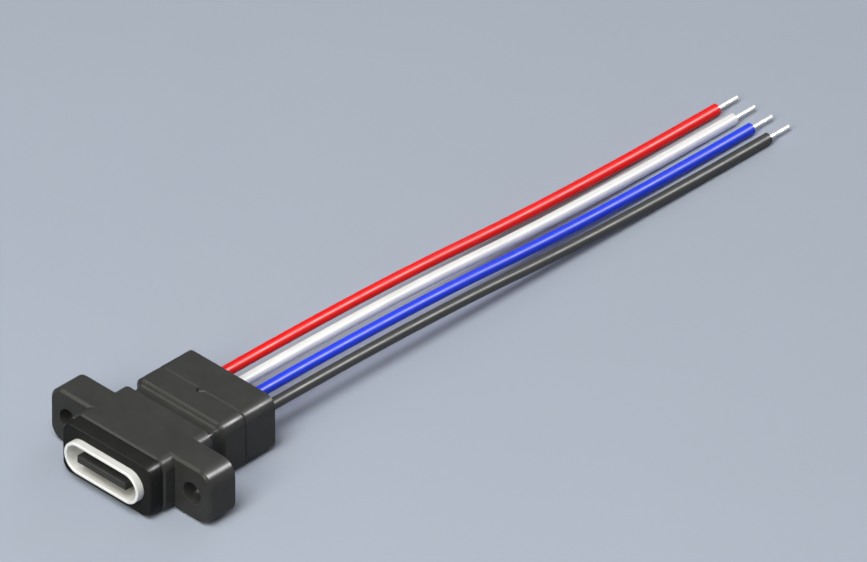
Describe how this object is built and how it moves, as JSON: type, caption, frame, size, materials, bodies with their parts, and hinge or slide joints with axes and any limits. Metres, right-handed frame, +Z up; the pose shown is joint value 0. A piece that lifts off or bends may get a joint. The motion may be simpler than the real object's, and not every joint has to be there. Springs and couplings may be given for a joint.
{
  "type": "usb-c socket",
  "caption": "Panel-mount USB-C socket: black moulded housing with two screw ears and four colour-coded flying leads.",
  "frame": {"origin": "midway between the two screw holes, on the front face of the ears", "axes": "+X along the ears, +Y back along the leads, +Z up, away from the surface that the socket rests on"},
  "size_m": [0.0194, 0.0803, 0.0054],
  "materials": {
    "housing_black": "satin",
    "nose_black": "satin",
    "shell_steel": "satin",
    "tongue_grey": "satin",
    "plate_steel": "satin",
    "contact_gold": "polished",
    "board_green": "satin",
    "resistor_black": "satin",
    "solder_tin": "satin",
    "lead_red": "satin",
    "lead_white": "satin",
    "lead_blue": "satin",
    "lead_black": "satin",
    "wire_tinned": "polished"
  },
  "bodies": {
    "root": {"housing": "housing_black", "rear_cover": "housing_black", "nose_insert": "nose_black", "receptacle_shell": "shell_steel", "tongue_insulator": "tongue_grey", "mid_plate": "plate_steel", "contact_a1": "contact_gold", "contact_a4": "contact_gold", "contact_a5": "contact_gold", "contact_a6": "contact_gold", "contact_a7": "contact_gold", "contact_a8": "contact_gold", "contact_a9": "contact_gold", "contact_a12": "contact_gold", "contact_b1": "contact_gold", "contact_b4": "contact_gold", "contact_b5": "contact_gold", "contact_b6": "contact_gold", "contact_b7": "contact_gold", "contact_b8": "contact_gold", "contact_b9": "contact_gold", "contact_b12": "contact_gold", "circuit_board": "board_green", "resistor_1": "resistor_black", "resistor_2": "resistor_black", "solder_joint_red": "solder_tin", "solder_joint_white": "solder_tin", "solder_joint_blue": "solder_tin", "solder_joint_black": "solder_tin", "lead_red": "lead_red", "lead_white": "lead_white", "lead_blue": "lead_blue", "lead_black": "lead_black", "bare_end_red": "wire_tinned", "bare_end_white": "wire_tinned", "bare_end_blue": "wire_tinned", "bare_end_black": "wire_tinned", "soldered_end_red": "wire_tinned", "soldered_end_white": "wire_tinned", "soldered_end_blue": "wire_tinned", "soldered_end_black": "wire_tinned"}
  },
  "joints": []
}
